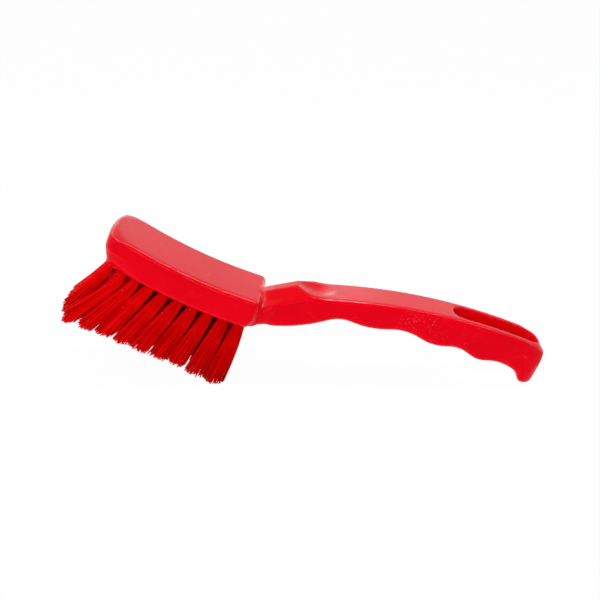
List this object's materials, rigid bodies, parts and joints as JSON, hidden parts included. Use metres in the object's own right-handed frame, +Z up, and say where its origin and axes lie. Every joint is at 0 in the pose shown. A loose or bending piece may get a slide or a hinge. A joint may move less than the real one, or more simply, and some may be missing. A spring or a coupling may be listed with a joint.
{
  "type": "grout brush",
  "caption": "Short-handled red scrubbing brush with a bowed block, fanned stiff tufts, finger-grooved handle and hanging slot.",
  "frame": {"origin": "under the middle of the brush's overall box, on the surface that it rests on", "axes": "+X from the toe of the block to the tail of the handle, +Y across the brush, +Z up; the brush rests on its heel tufts and on the hook of its tail"},
  "size_m": [0.272, 0.0464, 0.0859],
  "materials": {
    "body_plastic": "glossy injection-moulded polypropylene, red",
    "filament": "stiff extruded polyester filament, satin, red",
    "anchor_steel": "drawn flat stainless wire"
  },
  "bodies": {
    "root": {"handle_block": "body_plastic", "tuft_anchors": "anchor_steel", "tuft_r1_c1": "filament", "tuft_r1_c2": "filament", "tuft_r1_c3": "filament", "tuft_r1_c4": "filament", "tuft_r1_c5": "filament", "tuft_r1_c6": "filament", "tuft_r1_c7": "filament", "tuft_r1_c8": "filament", "tuft_r1_c9": "filament", "tuft_r2_c0": "filament", "tuft_r2_c1": "filament", "tuft_r2_c2": "filament", "tuft_r2_c3": "filament", "tuft_r2_c4": "filament", "tuft_r2_c5": "filament", "tuft_r2_c6": "filament", "tuft_r2_c7": "filament", "tuft_r2_c8": "filament", "tuft_r2_c9": "filament", "tuft_r3_c0": "filament", "tuft_r3_c1": "filament", "tuft_r3_c2": "filament", "tuft_r3_c3": "filament", "tuft_r3_c4": "filament", "tuft_r3_c5": "filament", "tuft_r3_c6": "filament", "tuft_r3_c7": "filament", "tuft_r3_c8": "filament", "tuft_r3_c9": "filament", "tuft_r4_c0": "filament", "tuft_r4_c1": "filament", "tuft_r4_c2": "filament", "tuft_r4_c3": "filament", "tuft_r4_c4": "filament", "tuft_r4_c5": "filament", "tuft_r4_c6": "filament", "tuft_r4_c7": "filament", "tuft_r4_c8": "filament", "tuft_r4_c9": "filament", "tuft_r5_c1": "filament", "tuft_r5_c2": "filament", "tuft_r5_c3": "filament", "tuft_r5_c4": "filament", "tuft_r5_c5": "filament", "tuft_r5_c6": "filament", "tuft_r5_c7": "filament", "tuft_r5_c8": "filament", "tuft_r5_c9": "filament"}
  },
  "joints": []
}
